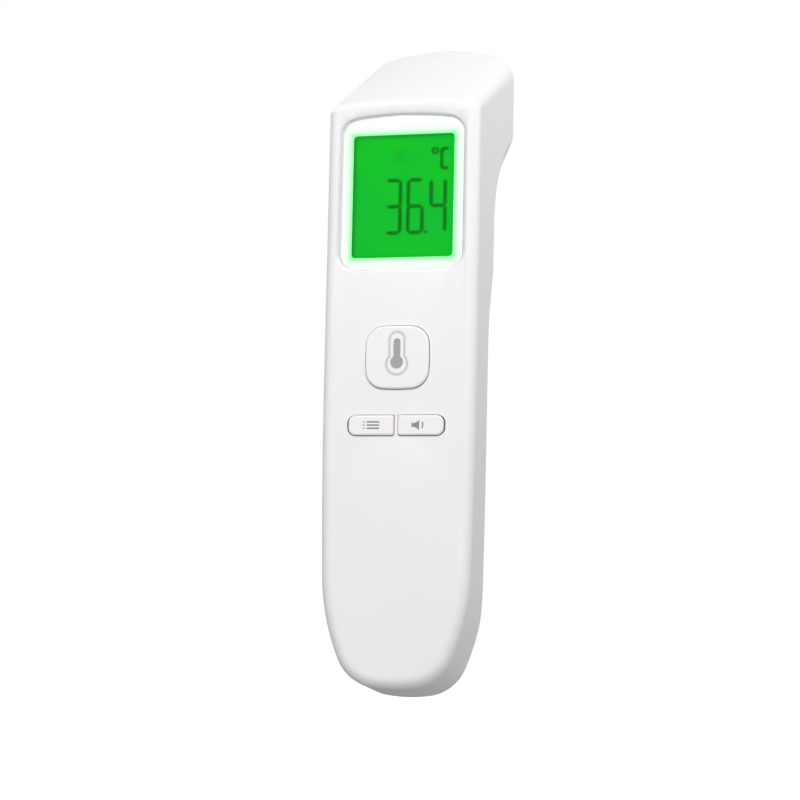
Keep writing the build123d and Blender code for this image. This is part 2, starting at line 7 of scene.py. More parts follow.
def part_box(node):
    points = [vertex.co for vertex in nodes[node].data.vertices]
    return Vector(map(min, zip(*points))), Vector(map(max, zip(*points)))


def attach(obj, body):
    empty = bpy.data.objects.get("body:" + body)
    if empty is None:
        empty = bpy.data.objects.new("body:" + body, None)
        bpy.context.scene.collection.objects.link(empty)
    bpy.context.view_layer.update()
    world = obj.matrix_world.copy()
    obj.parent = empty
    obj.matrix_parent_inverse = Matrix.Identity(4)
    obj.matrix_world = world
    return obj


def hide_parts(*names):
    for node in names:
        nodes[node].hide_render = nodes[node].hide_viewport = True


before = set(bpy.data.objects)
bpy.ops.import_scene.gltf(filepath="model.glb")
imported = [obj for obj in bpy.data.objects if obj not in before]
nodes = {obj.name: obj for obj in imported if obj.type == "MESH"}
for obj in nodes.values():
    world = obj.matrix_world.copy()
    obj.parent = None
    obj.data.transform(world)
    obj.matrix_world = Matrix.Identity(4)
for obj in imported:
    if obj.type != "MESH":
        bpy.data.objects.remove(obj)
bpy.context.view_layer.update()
print("frame loaded,", len(nodes), "pieces")

mm = 0.001


def newObject(name, data):
    item = bpy.data.objects.new(name, data)
    bpy.context.scene.collection.objects.link(item)
    return item


# small helpers for node trees

def addNode(tree, kind, **settings):
    node = tree.nodes.new(kind)
    for name, value in settings.items():
        setattr(node, name, value)
    return node


def setInputs(node, values):
    for name, value in values.items():
        node.inputs[name].default_value = value
    return node


def mathStep(tree, operation, first, second=None, clamp=False):
    node = addNode(tree, "ShaderNodeMath", operation=operation, use_clamp=clamp)
    for socket, value in zip(node.inputs, (first, second)):
        if value is None:
            continue
        if isinstance(value, bpy.types.NodeSocket):
            tree.links.new(value, socket)
        else:
            socket.default_value = value
    return node.outputs[0]


def remap(tree, value, low, high, toLow=0.0, toHigh=1.0):
    node = addNode(tree, "ShaderNodeMapRange")
    setInputs(node, {"From Min": low, "From Max": high, "To Min": toLow, "To Max": toHigh})
    tree.links.new(value, node.inputs["Value"])
    return node.outputs["Result"]


def mixColour(tree, factor, first, second):
    node = addNode(tree, "ShaderNodeMix", data_type="RGBA")
    for socket, value in zip((node.inputs[0], node.inputs[6], node.inputs[7]), (factor, first, second)):
        if isinstance(value, bpy.types.NodeSocket):
            tree.links.new(value, socket)
        else:
            socket.default_value = value
    return node.outputs[2]


def mixNumber(tree, factor, first, second):
    node = addNode(tree, "ShaderNodeMix", data_type="FLOAT")
    for socket, value in zip((node.inputs[0], node.inputs[2], node.inputs[3]), (factor, first, second)):
        tree.links.new(value, socket)
    return node.outputs[0]


def objectPoint(tree):
    return addNode(tree, "ShaderNodeTexCoord").outputs["Object"]


def noise(tree, point, scale, detail=3.0, roughness=0.5):
    node = addNode(tree, "ShaderNodeTexNoise")
    tree.links.new(point, node.inputs["Vector"])
    setInputs(node, {"Detail": detail, "Roughness": roughness})
    if isinstance(scale, bpy.types.NodeSocket):
        tree.links.new(scale, node.inputs["Scale"])
    else:
        node.inputs["Scale"].default_value = scale
    return node.outputs["Fac"]


def spread(tree, value, low=0.0, high=1.0):
    # most values of a noise texture lie near its middle; this spreads them from low to high
    return remap(tree, value, 0.35, 0.65, low, high)


def newGroup(name, inputs, outputs):
    tree = bpy.data.node_groups.new(name, "ShaderNodeTree")
    for label, kind, value in inputs:
        socket = tree.interface.new_socket(label, in_out="INPUT", socket_type=kind)
        socket.default_value = value
    for label, kind in outputs:
        tree.interface.new_socket(label, in_out="OUTPUT", socket_type=kind)
    return tree, addNode(tree, "NodeGroupInput"), addNode(tree, "NodeGroupOutput")


def place(tree, group, values):
    node = addNode(tree, "ShaderNodeGroup", node_tree=group)
    return setInputs(node, values)


def newMaterial(name, **plain):
    material = bpy.data.materials.new(name)
    material.use_nodes = True
    shader = material.node_tree.nodes["Principled BSDF"]
    for label, value in plain.items():
        shader.inputs[label.replace("_", " ")].default_value = value
    return material, material.node_tree, shader


def bumpFrom(tree, shader, height, strength, distance):
    bump = addNode(tree, "ShaderNodeBump")
    setInputs(bump, {"Strength": strength, "Distance": distance})
    tree.links.new(height, bump.inputs["Height"])
    tree.links.new(bump.outputs["Normal"], shader.inputs["Normal"])


# effects that several finishes share

def buildMouldGrain():
    # cloudy tone, uneven gloss and the fine texture of a moulded surface
    tree, entry, leave = newGroup("mouldGrain", [
        ("Tone A", "NodeSocketColor", (0.8, 0.8, 0.8, 1)),
        ("Tone B", "NodeSocketColor", (0.75, 0.75, 0.75, 1)),
        ("Cloud Scale", "NodeSocketFloat", 60.0), ("Grain Scale", "NodeSocketFloat", 5000.0),
        ("Smooth", "NodeSocketFloat", 0.3), ("Rough", "NodeSocketFloat", 0.45)],
        [("Color", "NodeSocketColor"), ("Roughness", "NodeSocketFloat"), ("Height", "NodeSocketFloat")])
    point = objectPoint(tree)
    cloud = spread(tree, noise(tree, point, entry.outputs["Cloud Scale"]))
    grain = noise(tree, point, entry.outputs["Grain Scale"], detail=2.0, roughness=0.6)
    tone = mixColour(tree, cloud, entry.outputs["Tone A"], entry.outputs["Tone B"])
    gloss = mixNumber(tree, cloud, entry.outputs["Smooth"], entry.outputs["Rough"])
    tree.links.new(tone, leave.inputs["Color"])
    tree.links.new(gloss, leave.inputs["Roughness"])
    tree.links.new(grain, leave.inputs["Height"])
    return tree


# "sharp" and "soft" say how well the rounded normal agrees with the true one
edgeWear = {"sharp": 0.80, "soft": 0.99, "patches": 900.0, "least": 0.3}


def buildEdgeTone(wear):
    # worn or darkened edges: where a rounded normal leaves the true one, in patches
    tree, entry, leave = newGroup("edgeTone", [
        ("Color", "NodeSocketColor", (0.8, 0.8, 0.8, 1)),
        ("Edge Color", "NodeSocketColor", (0.9, 0.9, 0.9, 1)),
        ("Roughness", "NodeSocketFloat", 0.4), ("Edge Roughness", "NodeSocketFloat", 0.3),
        ("Radius", "NodeSocketFloat", 0.0003), ("Amount", "NodeSocketFloat", 0.6)],
        [("Color", "NodeSocketColor"), ("Roughness", "NodeSocketFloat")])
    bevel = addNode(tree, "ShaderNodeBevel", samples=3)
    tree.links.new(entry.outputs["Radius"], bevel.inputs["Radius"])
    agree = addNode(tree, "ShaderNodeVectorMath", operation="DOT_PRODUCT")
    tree.links.new(bevel.outputs["Normal"], agree.inputs[0])
    tree.links.new(addNode(tree, "ShaderNodeNewGeometry").outputs["Normal"], agree.inputs[1])
    edge = remap(tree, agree.outputs["Value"], wear["soft"], wear["sharp"])
    patchy = spread(tree, noise(tree, objectPoint(tree), wear["patches"]), wear["least"], 1.0)
    worn = mathStep(tree, "MULTIPLY", edge, patchy)
    mask = mathStep(tree, "MULTIPLY", worn, entry.outputs["Amount"], clamp=True)
    tone = mixColour(tree, mask, entry.outputs["Color"], entry.outputs["Edge Color"])
    gloss = mixNumber(tree, mask, entry.outputs["Roughness"], entry.outputs["Edge Roughness"])
    tree.links.new(tone, leave.inputs["Color"])
    tree.links.new(gloss, leave.inputs["Roughness"])
    return tree


def buildGlowFall():
    # "Outside" falls from 1 away from a rectangle in the XZ plane, "Inside" rises from 0 at its edge
    tree, entry, leave = newGroup("glowFall", [
        ("Half Width", "NodeSocketFloat", 0.01), ("Half Height", "NodeSocketFloat", 0.01),
        ("Middle Z", "NodeSocketFloat", 0.1), ("Reach", "NodeSocketFloat", 0.001)],
        [("Outside", "NodeSocketFloat"), ("Inside", "NodeSocketFloat")])
    split = addNode(tree, "ShaderNodeSeparateXYZ")
    tree.links.new(objectPoint(tree), split.inputs[0])
    aside = mathStep(tree, "ABSOLUTE", split.outputs["X"])
    aside = mathStep(tree, "SUBTRACT", aside, entry.outputs["Half Width"])
    above = mathStep(tree, "SUBTRACT", split.outputs["Z"], entry.outputs["Middle Z"])
    above = mathStep(tree, "SUBTRACT", mathStep(tree, "ABSOLUTE", above), entry.outputs["Half Height"])
    outX = mathStep(tree, "MAXIMUM", aside, 0.0)
    outZ = mathStep(tree, "MAXIMUM", above, 0.0)
    squares = [mathStep(tree, "MULTIPLY", out, out) for out in (outX, outZ)]
    away = mathStep(tree, "SQRT", mathStep(tree, "ADD", *squares))
    fall = mathStep(tree, "MULTIPLY", mathStep(tree, "DIVIDE", away, entry.outputs["Reach"]), -1.0)
    tree.links.new(mathStep(tree, "EXPONENT", fall), leave.inputs["Outside"])
    depth = mathStep(tree, "MULTIPLY", mathStep(tree, "MAXIMUM", aside, above), -1.0)
    inside = mathStep(tree, "DIVIDE", depth, entry.outputs["Reach"], clamp=True)
    tree.links.new(inside, leave.inputs["Inside"])
    return tree


mouldGrain = buildMouldGrain()
edgeTone = buildEdgeTone(edgeWear)
glowFall = buildGlowFall()
print("shared effects built")


# each kind of finish is one function, with its values beside it

def placeGrain(tree, finish):
    return place(tree, mouldGrain, {
        "Tone A": finish["toneA"], "Tone B": finish["toneB"], "Cloud Scale": finish["cloud"],
        "Grain Scale": finish["grain"], "Smooth": finish["smooth"], "Rough": finish["rough"]})


def mouldedPlastic(name, finish):
    material, tree, shader = newMaterial(name, IOR=finish["ior"], Specular_IOR_Level=finish["specular"])
    grain = placeGrain(tree, finish)
    edge = place(tree, edgeTone, {
        "Edge Color": finish["edge"], "Edge Roughness": finish["smooth"],
        "Radius": finish["edgeRadius"], "Amount": finish["edgeAmount"]})
    tree.links.new(grain.outputs["Color"], edge.inputs["Color"])
    tree.links.new(grain.outputs["Roughness"], edge.inputs["Roughness"])
    tree.links.new(edge.outputs["Color"], shader.inputs["Base Color"])
    tree.links.new(edge.outputs["Roughness"], shader.inputs["Roughness"])
    bumpFrom(tree, shader, grain.outputs["Height"], finish["bump"], finish["bumpDepth"])
    return material


coverFinish = {
    "toneA": (0.885, 0.862, 0.885, 1), "toneB": (0.868, 0.846, 0.868, 1), "edge": (0.90, 0.89, 0.90, 1),
    "cloud": 45.0, "grain": 4200.0, "smooth": 0.32, "rough": 0.42, "ior": 1.5, "specular": 0.45,
    "edgeRadius": 0.25 * mm, "edgeAmount": 0.5, "bump": 0.25, "bumpDepth": 0.02 * mm}
buttonFinish = dict(coverFinish, toneA=(0.90, 0.877, 0.90, 1), toneB=(0.885, 0.862, 0.885, 1),
                    grain=6000.0, smooth=0.26, rough=0.34, bump=0.15)
trayFinish = dict(coverFinish, toneA=(0.62, 0.62, 0.60, 1), toneB=(0.57, 0.57, 0.55, 1),
                  edge=(0.7, 0.7, 0.68, 1), smooth=0.45, rough=0.6, bump=0.4)
plungerFinish = dict(trayFinish, toneA=(0.70, 0.66, 0.58, 1), toneB=(0.64, 0.60, 0.52, 1), cloud=400.0)
blackFinish = dict(trayFinish, toneA=(0.012, 0.012, 0.013, 1), toneB=(0.018, 0.018, 0.020, 1),
                   edge=(0.05, 0.05, 0.055, 1), smooth=0.38, rough=0.52, cloud=300.0, edgeAmount=0.8)
probeFinish = dict(blackFinish, toneA=(0.016, 0.016, 0.018, 1), smooth=0.28, rough=0.40, grain=7000.0)


def turnedMetal(name, finish):
    # plated metal: fine turning lines, blotchy plating and brighter edges
    material, tree, shader = newMaterial(name, Metallic=1.0)
    point = objectPoint(tree)
    stretch = addNode(tree, "ShaderNodeMapping")
    stretch.inputs["Scale"].default_value = finish["stretch"]
    tree.links.new(point, stretch.inputs["Vector"])
    lines = noise(tree, stretch.outputs["Vector"], finish["lines"], roughness=0.65)
    blotch = spread(tree, noise(tree, point, finish["blotch"]))
    edge = place(tree, edgeTone, {"Edge Color": finish["edge"], "Edge Roughness": finish["smooth"],
                                  "Radius": finish["edgeRadius"], "Amount": finish["edgeAmount"]})
    tree.links.new(mixColour(tree, blotch, finish["toneA"], finish["toneB"]), edge.inputs["Color"])
    tree.links.new(spread(tree, lines, finish["smooth"], finish["rough"]), edge.inputs["Roughness"])
    tree.links.new(edge.outputs["Color"], shader.inputs["Base Color"])
    tree.links.new(edge.outputs["Roughness"], shader.inputs["Roughness"])
    bumpFrom(tree, shader, lines, finish["bump"], finish["bumpDepth"])
    return material


nickelFinish = {
    "toneA": (0.66, 0.65, 0.62, 1), "toneB": (0.58, 0.57, 0.54, 1), "edge": (0.8, 0.79, 0.77, 1),
    "stretch": (1, 6, 1), "lines": 3000.0, "blotch": 350.0, "smooth": 0.18, "rough": 0.36,
    "edgeRadius": 0.15 * mm, "edgeAmount": 0.7, "bump": 0.3, "bumpDepth": 0.01 * mm}
brassFinish = dict(nickelFinish, toneA=(0.62, 0.44, 0.17, 1), toneB=(0.50, 0.34, 0.12, 1),
                   edge=(0.8, 0.62, 0.3, 1))
canFinish = dict(nickelFinish, toneA=(0.72, 0.71, 0.68, 1), toneB=(0.62, 0.60, 0.56, 1), lines=5000.0)


def clearAcrylic(finish):
    # clear lens with a trace of haze and a slow ripple
    material, tree, shader = newMaterial("clearAcrylic", IOR=finish["ior"], Transmission_Weight=1.0)
    point = objectPoint(tree)
    haze = noise(tree, point, finish["haze"])
    tree.links.new(mixColour(tree, haze, finish["tintA"], finish["tintB"]), shader.inputs["Base Color"])
    tree.links.new(spread(tree, haze, finish["smooth"], finish["rough"]), shader.inputs["Roughness"])
    ripple = noise(tree, point, finish["ripple"], detail=1.0)
    bumpFrom(tree, shader, ripple, finish["bump"], finish["bumpDepth"])
    return material


lensFinish = {
    "tintA": (0.97, 0.98, 0.975, 1), "tintB": (0.99, 0.99, 0.99, 1), "haze": 180.0, "ripple": 120.0,
    "ior": 1.12, "smooth": 0.02, "rough": 0.05, "bump": 0.05, "bumpDepth": 0.02 * mm}

# the mask hides a border of the panel; light leaks over the mask as a painted glow, and painted shade
# darkens the lit part at its edge
display = {"border": 0.9 * mm, "glowReach": 0.62 * mm, "shadeReach": 0.75 * mm}
panelLow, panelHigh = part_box("lcd_panel")
display["halfWidth"] = (panelHigh.x - panelLow.x) / 2 - display["border"]
display["halfHeight"] = (panelHigh.z - panelLow.z) / 2 - display["border"]
display["middleZ"] = (panelHigh.z + panelLow.z) / 2


def displayGlowAndShade(tree, reach):
    return place(tree, glowFall, {
        "Half Width": display["halfWidth"], "Half Height": display["halfHeight"],
        "Middle Z": display["middleZ"], "Reach": reach})


def printedMask(finish):
    # white print behind the lens; it glows white as painted light standing in for the lamp light that the
    # lens holds back, and a painted green glow near the display stands for the light that leaks from it
    material, tree, shader = newMaterial("printedMask", IOR=finish["ior"])
    paintedGlowMask = displayGlowAndShade(tree, display["glowReach"]).outputs["Outside"]
    grain = placeGrain(tree, finish)
    # painted glow: near the display the base colour turns green
    tone = mixColour(tree, paintedGlowMask, grain.outputs["Color"], finish["glow"])
    # painted light: the print's emission is white, and green near the display
    light = mixColour(tree, paintedGlowMask, finish["lit"], finish["glow"])
    tree.links.new(tone, shader.inputs["Base Color"])
    tree.links.new(grain.outputs["Roughness"], shader.inputs["Roughness"])
    tree.links.new(light, shader.inputs["Emission Color"])
    shader.inputs["Emission Strength"].default_value = finish["strength"]
    bumpFrom(tree, shader, grain.outputs["Height"], finish["bump"], finish["bumpDepth"])
    return material


# lit and strength give the print's painted light, glow the painted green glow near the display
maskFinish = {
    "toneA": (0.90, 0.91, 0.90, 1), "toneB": (0.88, 0.89, 0.88, 1), "glow": (0.45, 1.0, 0.55, 1),
    "lit": (0.99, 0.97, 0.99, 1), "strength": 0.32, "cloud": 80.0, "grain": 9000.0,
    "smooth": 0.4, "rough": 0.5, "ior": 1.45, "bump": 0.1, "bumpDepth": 0.01 * mm}


def litDisplay(finish):
    # evenly lit green film with painted shade where the edge of the mask overhangs it
    material, tree, shader = newMaterial("litDisplay", IOR=finish["ior"], Specular_IOR_Level=0.0)
    point = objectPoint(tree)
    cloud = noise(tree, point, finish["cloud"], detail=2.0)
    green = mixColour(tree, spread(tree, cloud), finish["toneA"], finish["toneB"])
    inside = displayGlowAndShade(tree, display["shadeReach"]).outputs["Inside"]
    film = mixColour(tree, cloud, finish["filmA"], finish["filmB"])
    # painted shade: the emission falls to the edge colour near the mask's edge
    tree.links.new(mixColour(tree, inside, finish["edge"], green), shader.inputs["Emission Color"])
    tree.links.new(film, shader.inputs["Base Color"])
    tree.links.new(spread(tree, cloud, finish["smooth"], finish["rough"]), shader.inputs["Roughness"])
    shader.inputs["Emission Strength"].default_value = finish["strength"]
    grain = noise(tree, point, finish["grain"], detail=2.0)
    bumpFrom(tree, shader, grain, finish["bump"], finish["bumpDepth"])
    return material


# edge is the colour of the painted shade under the mask's edge
displayFinish = {
    "toneA": (0.0, 0.50, 0.006, 1), "toneB": (0.0, 0.45, 0.016, 1), "edge": (0.002, 0.27, 0.014, 1),
    "filmA": (0.004, 0.06, 0.008, 1), "filmB": (0.004, 0.05, 0.010, 1), "cloud": 90.0, "grain": 8000.0,
    "smooth": 0.35, "rough": 0.45, "strength": 1.0, "ior": 1.4, "bump": 0.05, "bumpDepth": 0.01 * mm}


def segmentInk(name, finish):
    # a dark sign on the display: a little of the green light passes it
    material, tree, shader = newMaterial(name, IOR=finish["ior"], Specular_IOR_Level=0.0)
    cloud = noise(tree, objectPoint(tree), finish["cloud"], detail=2.0)
    light = mixColour(tree, cloud, finish["deep"], finish["tone"])
    film = mixColour(tree, cloud, finish["filmA"], finish["filmB"])
    tree.links.new(light, shader.inputs["Emission Color"])
    shader.inputs["Emission Strength"].default_value = finish["strength"]
    tree.links.new(film, shader.inputs["Base Color"])
    tree.links.new(spread(tree, cloud, finish["smooth"], finish["rough"]), shader.inputs["Roughness"])
    return material


digitFinish = {
    "tone": (0.0, 0.18, 0.004, 1), "deep": (0.0, 0.15, 0.003, 1),
    "filmA": (0.003, 0.02, 0.004, 1), "filmB": (0.004, 0.03, 0.005, 1),
    "cloud": 700.0, "smooth": 0.35, "rough": 0.45, "strength": 1.0, "ior": 1.4}
faintFinish = dict(digitFinish, tone=(0.0, 0.42, 0.008, 1), deep=(0.0, 0.37, 0.007, 1))


def printInk(name, finish):
    # pad printing: slightly uneven cover with the plastic's gloss
    material, tree, shader = newMaterial(name, IOR=finish["ior"])
    cover = noise(tree, objectPoint(tree), finish["cover"], roughness=0.6)
    tone = mixColour(tree, spread(tree, cover), finish["tone"], finish["thin"])
    tree.links.new(tone, shader.inputs["Base Color"])
    tree.links.new(spread(tree, cover, finish["smooth"], finish["rough"]), shader.inputs["Roughness"])
    bumpFrom(tree, shader, cover, finish["bump"], finish["bumpDepth"])
    return material


solidInkFinish = {
    "tone": (0.33, 0.32, 0.33, 1), "thin": (0.41, 0.40, 0.41, 1), "cover": 2600.0,
    "smooth": 0.38, "rough": 0.5, "ior": 1.45, "bump": 0.2, "bumpDepth": 0.01 * mm}
lineInkFinish = dict(solidInkFinish, tone=(0.57, 0.55, 0.57, 1), thin=(0.68, 0.66, 0.68, 1))
keyInkFinish = dict(solidInkFinish, tone=(0.22, 0.21, 0.22, 1), thin=(0.32, 0.31, 0.32, 1))


def lightGuide(finish):
    # clear sheet with a field of frosted dots that throw the light forward
    material, tree, shader = newMaterial("lightGuide", IOR=finish["ior"])
    dots = addNode(tree, "ShaderNodeTexVoronoi")
    dots.inputs["Scale"].default_value = finish["dots"]
    tree.links.new(objectPoint(tree), dots.inputs["Vector"])
    spot = remap(tree, dots.outputs["Distance"], finish["dotInner"], finish["dotOuter"], 1.0, 0.0)
    tree.links.new(mixColour(tree, spot, finish["clear"], finish["frost"]), shader.inputs["Base Color"])
    gloss = remap(tree, spot, 0.0, 1.0, finish["smooth"], finish["rough"])
    tree.links.new(gloss, shader.inputs["Roughness"])
    bumpFrom(tree, shader, spot, finish["bump"], finish["bumpDepth"])
    return material


guideFinish = {
    "clear": (0.45, 0.80, 0.45, 1), "frost": (0.85, 0.95, 0.85, 1), "dots": 1400.0, "dotInner": 0.25,
    "dotOuter": 0.35, "smooth": 0.12, "rough": 0.5, "ior": 1.49, "bump": 0.3, "bumpDepth": 0.02 * mm}


def solderMask(finish):
    # green lacquer over copper tracks that run up or across the board
    material, tree, shader = newMaterial("solderMask", IOR=finish["ior"])
    point = objectPoint(tree)
    chosen = addNode(tree, "ShaderNodeMix", data_type="FLOAT")
    area = noise(tree, point, finish["areas"], detail=0.0)
    tree.links.new(remap(tree, area, finish["areaLow"], finish["areaHigh"]), chosen.inputs[0])
    for direction, socket in (("X", chosen.inputs[2]), ("Z", chosen.inputs[3])):
        wave = addNode(tree, "ShaderNodeTexWave", bands_direction=direction)
        setInputs(wave, {"Scale": finish["tracks"], "Distortion": finish["stray"], "Detail": 0.0})
        tree.links.new(point, wave.inputs["Vector"])
        raised = remap(tree, wave.outputs["Fac"], finish["trackLow"], finish["trackHigh"])
        tree.links.new(raised, socket)
    track = chosen.outputs[0]
    tone = mixColour(tree, track, finish["lacquer"], finish["overCopper"])
    tree.links.new(tone, shader.inputs["Base Color"])
    gloss = noise(tree, point, finish["cloud"], detail=2.0)
    tree.links.new(spread(tree, gloss, finish["smooth"], finish["rough"]), shader.inputs["Roughness"])
    bumpFrom(tree, shader, track, finish["bump"], finish["bumpDepth"])
    return material


boardFinish = {
    "lacquer": (0.010, 0.085, 0.030, 1), "overCopper": (0.022, 0.160, 0.050, 1),
    "tracks": 260.0, "stray": 1.2, "trackLow": 0.78, "trackHigh": 0.86,
    "areas": 160.0, "areaLow": 0.49, "areaHigh": 0.51, "cloud": 900.0,
    "smooth": 0.22, "rough": 0.36, "ior": 1.5, "bump": 0.5, "bumpDepth": 0.03 * mm}


def cellJacket(name, node, nubUp, finish):
    # dark sleeve with a coppery band at the end of the nub, bare metal at both rims
    material, tree, shader = newMaterial(name)
    point = objectPoint(tree)
    low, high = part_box(node)
    start, end = (low.z, high.z) if nubUp else (high.z, low.z)
    split = addNode(tree, "ShaderNodeSeparateXYZ")
    tree.links.new(point, split.inputs[0])
    along = remap(tree, split.outputs["Z"], start, end)
    soft = finish["soft"]
    scuff = noise(tree, point, finish["scuff"], detail=4.0, roughness=0.7)
    worn = remap(tree, scuff, finish["scuffLow"], finish["scuffHigh"])
    sleeve = mixColour(tree, worn, finish["sleeve"], finish["sleeveWorn"])
    band = remap(tree, along, finish["bandFrom"] - soft, finish["bandFrom"])
    nearRim = remap(tree, along, finish["rimNear"] + soft, finish["rimNear"])
    farRim = remap(tree, along, finish["rimFar"] - soft, finish["rimFar"])
    rim = mathStep(tree, "ADD", nearRim, farRim, clamp=True)
    coloured = mixColour(tree, band, sleeve, finish["band"])
    tree.links.new(mixColour(tree, rim, coloured, finish["metal"]), shader.inputs["Base Color"])
    bandShine = mathStep(tree, "MULTIPLY", band, finish["bandShine"])
    rimShine = mathStep(tree, "MULTIPLY", rim, 1.0 - finish["bandShine"])
    tree.links.new(mathStep(tree, "ADD", bandShine, rimShine, clamp=True), shader.inputs["Metallic"])
    tree.links.new(spread(tree, scuff, finish["smooth"], finish["rough"]), shader.inputs["Roughness"])
    bumpFrom(tree, shader, scuff, finish["bump"], finish["bumpDepth"])
    return material


# places along the cell are shares of its length, from its flat end
cellFinish = {
    "sleeve": (0.018, 0.019, 0.022, 1), "sleeveWorn": (0.06, 0.062, 0.068, 1),
    "band": (0.55, 0.27, 0.10, 1), "metal": (0.62, 0.62, 0.60, 1),
    "bandFrom": 0.74, "rimNear": 0.02, "rimFar": 0.96, "soft": 0.005, "bandShine": 0.6,
    "scuff": 1500.0, "scuffLow": 0.5, "scuffHigh": 0.75, "smooth": 0.22, "rough": 0.38,
    "bump": 0.15, "bumpDepth": 0.01 * mm}


finishes = {
    mouldedPlastic("coverPlastic", coverFinish): ["front_cover", "rear_cover", "battery_door"],
    mouldedPlastic("buttonPlastic", buttonFinish): ["measure_button", "memory_key", "sound_key"],
    clearAcrylic(lensFinish): ["display_window"],
    printedMask(maskFinish): ["window_mask"],
    litDisplay(displayFinish): ["lcd_panel"],
    lightGuide(guideFinish): ["backlight_guide"],
    mouldedPlastic("trayPlastic", trayFinish): ["lcd_holder", "battery_tray"],
    mouldedPlastic("plungerPlastic", plungerFinish): [
        "measure_plunger", "memory_plunger", "sound_plunger"],
    mouldedPlastic("blackPlastic", blackFinish): [
        "controller_chip", "buzzer", "measure_switch", "memory_switch", "sound_switch"],
    mouldedPlastic("probePlastic", probeFinish): ["probe_ring"],
    turnedMetal("nickelPlate", nickelFinish): [
        "clock_crystal", "case_screws", "board_screws", "contact_positive", "contact_negative",
        "contact_bridge", "spring_left", "spring_right"],
    turnedMetal("turnedBrass", brassFinish): ["sensor_barrel"],
    turnedMetal("canMetal", canFinish): ["thermopile_can"],
    solderMask(boardFinish): ["circuit_board", "sensor_board"],
    cellJacket("cellJacketLeft", "cell_left", True, cellFinish): ["cell_left"],
    cellJacket("cellJacketRight", "cell_right", False, cellFinish): ["cell_right"],
}
for material, names in finishes.items():
    for name in names:
        for slot in nodes[name].material_slots:
            slot.material = material
print("finishes on", sum(len(names) for names in finishes.values()), "pieces")


# forms that differ from the CAD pieces are made as reshaped copies of them

# the top of the head slopes down to a lower line on the face; at the parting, the rear, nothing moves
headSlope = {"level": 134.2 * mm, "front": 139.3 * mm, "newFront": 135.5 * mm, "rear": 154.66 * mm}

# the window reaches nearer to the sides: pairs of a distance from the middle and where it goes
windowSpread = {
    "pairs": ((10.05, 10.05), (14.45, 15.3), (15.0, 15.5), (18.0, 18.0)), "depth": 3.25 * mm,
    "fadeLow": 20 * mm, "fadeHigh": 60 * mm, "displaySide": 12.8, "displayMargin": 0.4 * mm}

copyQuality = {"mergeWithin": 1e-6, "sharpAngle": 40}
coverLow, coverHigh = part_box("front_cover")


def lowerSlope(point, slope):
    # what lies above the level closes down towards it
    over = point.z - slope["level"]
    if over > 0:
        back = (point.y - coverLow.y) / (coverHigh.y - coverLow.y)
        top = slope["front"] + (slope["rear"] - slope["front"]) * back
        newTop = slope["newFront"] + (slope["rear"] - slope["newFront"]) * back
        point.z = slope["level"] + over * (newTop - slope["level"]) / (top - slope["level"])


def widenWindow(point, values):
    # only near the face, not at the opening for the display, and fading out down the handle
    across = abs(point.x) / mm
    besideDisplay = abs(point.z - display["middleZ"]) < display["halfHeight"] + values["displayMargin"]
    if point.y > coverLow.y + values["depth"] or (besideDisplay and across < values["displaySide"]):
        return
    share = (point.z - values["fadeLow"]) / (values["fadeHigh"] - values["fadeLow"])
    share = min(max(share, 0), 1)
    for (start, newStart), (end, newEnd) in zip(values["pairs"], values["pairs"][1:]):
        if start < across < end:
            goal = newStart + (across - start) * (newEnd - newStart) / (end - start)
            point.x = math.copysign((across + (goal - across) * share) * mm, point.x)


def reshapedCopy(name, node, changes):
    source = nodes[node]
    form = bmesh.new()
    form.from_mesh(source.data)
    bmesh.ops.remove_doubles(form, verts=form.verts, dist=copyQuality["mergeWithin"])
    for vertex in form.verts:
        for change, values in changes.items():
            change(vertex.co, values)
    for face in form.faces:
        face.smooth = True
    mesh = bpy.data.meshes.new(name)
    form.to_mesh(mesh)
    form.free()
    mesh.set_sharp_from_angle(angle=math.radians(copyQuality["sharpAngle"]))
    mesh.materials.append(source.material_slots[0].material)
    piece = newObject(name, mesh)
    piece.modifiers.new("evenNormals", "WEIGHTED_NORMAL").keep_sharp = True
    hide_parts(node)
    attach(piece, "housing")


reshapedCopy("front_shell", "front_cover", {widenWindow: windowSpread, lowerSlope: headSlope})
reshapedCopy("window_lens", "display_window", {widenWindow: windowSpread})
reshapedCopy("window_print", "window_mask", {widenWindow: windowSpread})
print("front shell and window shaped")


# flat shapes that are printed on the front or shown by the display

filmThickness = 0.02 * mm


def sheetAt(name, mesh, material, y, body):
    # mesh is drawn in XZ with its thickness along Y; it ends up facing the user
    mesh.transform(Matrix.Translation((0, y, 0)))
    mesh.materials.clear()
    mesh.materials.append(material)
    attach(newObject(name, mesh), body)


def loopMesh(name, outer, holes=()):
    curve = bpy.data.curves.new(name, "CURVE")
    curve.dimensions = "2D"
    curve.fill_mode = "BOTH"
    curve.extrude = filmThickness / 2
    for loop in (outer, *holes):
        spline = curve.splines.new("POLY")
        spline.points.add(len(loop) - 1)
        for point, (x, z) in zip(spline.points, loop):
            point.co = (x, z, 0, 1)
        spline.use_cyclic_u = True
    holder = newObject(name, curve)
    mesh = bpy.data.meshes.new_from_object(holder.evaluated_get(bpy.context.evaluated_depsgraph_get()))
    bpy.data.objects.remove(holder)
    mesh.transform(Matrix.Rotation(math.radians(90), 4, "X"))
    return mesh


def arcPoints(centre, radius, start, end, steps):
    x, z = centre
    turns = [math.radians(start + (end - start) * step / steps) for step in range(steps + 1)]
    return [(x + radius * math.cos(turn), z + radius * math.sin(turn)) for turn in turns]


def circle(centre, radius, steps):
    return arcPoints(centre, radius, 0, 360, steps)[:-1]


def joinMeshes(name, meshes):
    whole = bmesh.new()
    for mesh in meshes:
        whole.from_mesh(mesh)
    bmesh.ops.remove_doubles(whole, verts=whole.verts, dist=1e-7)
    bmesh.ops.recalc_face_normals(whole, faces=whole.faces)
    mesh = bpy.data.meshes.new(name)
    whole.to_mesh(mesh)
    whole.free()
    return mesh


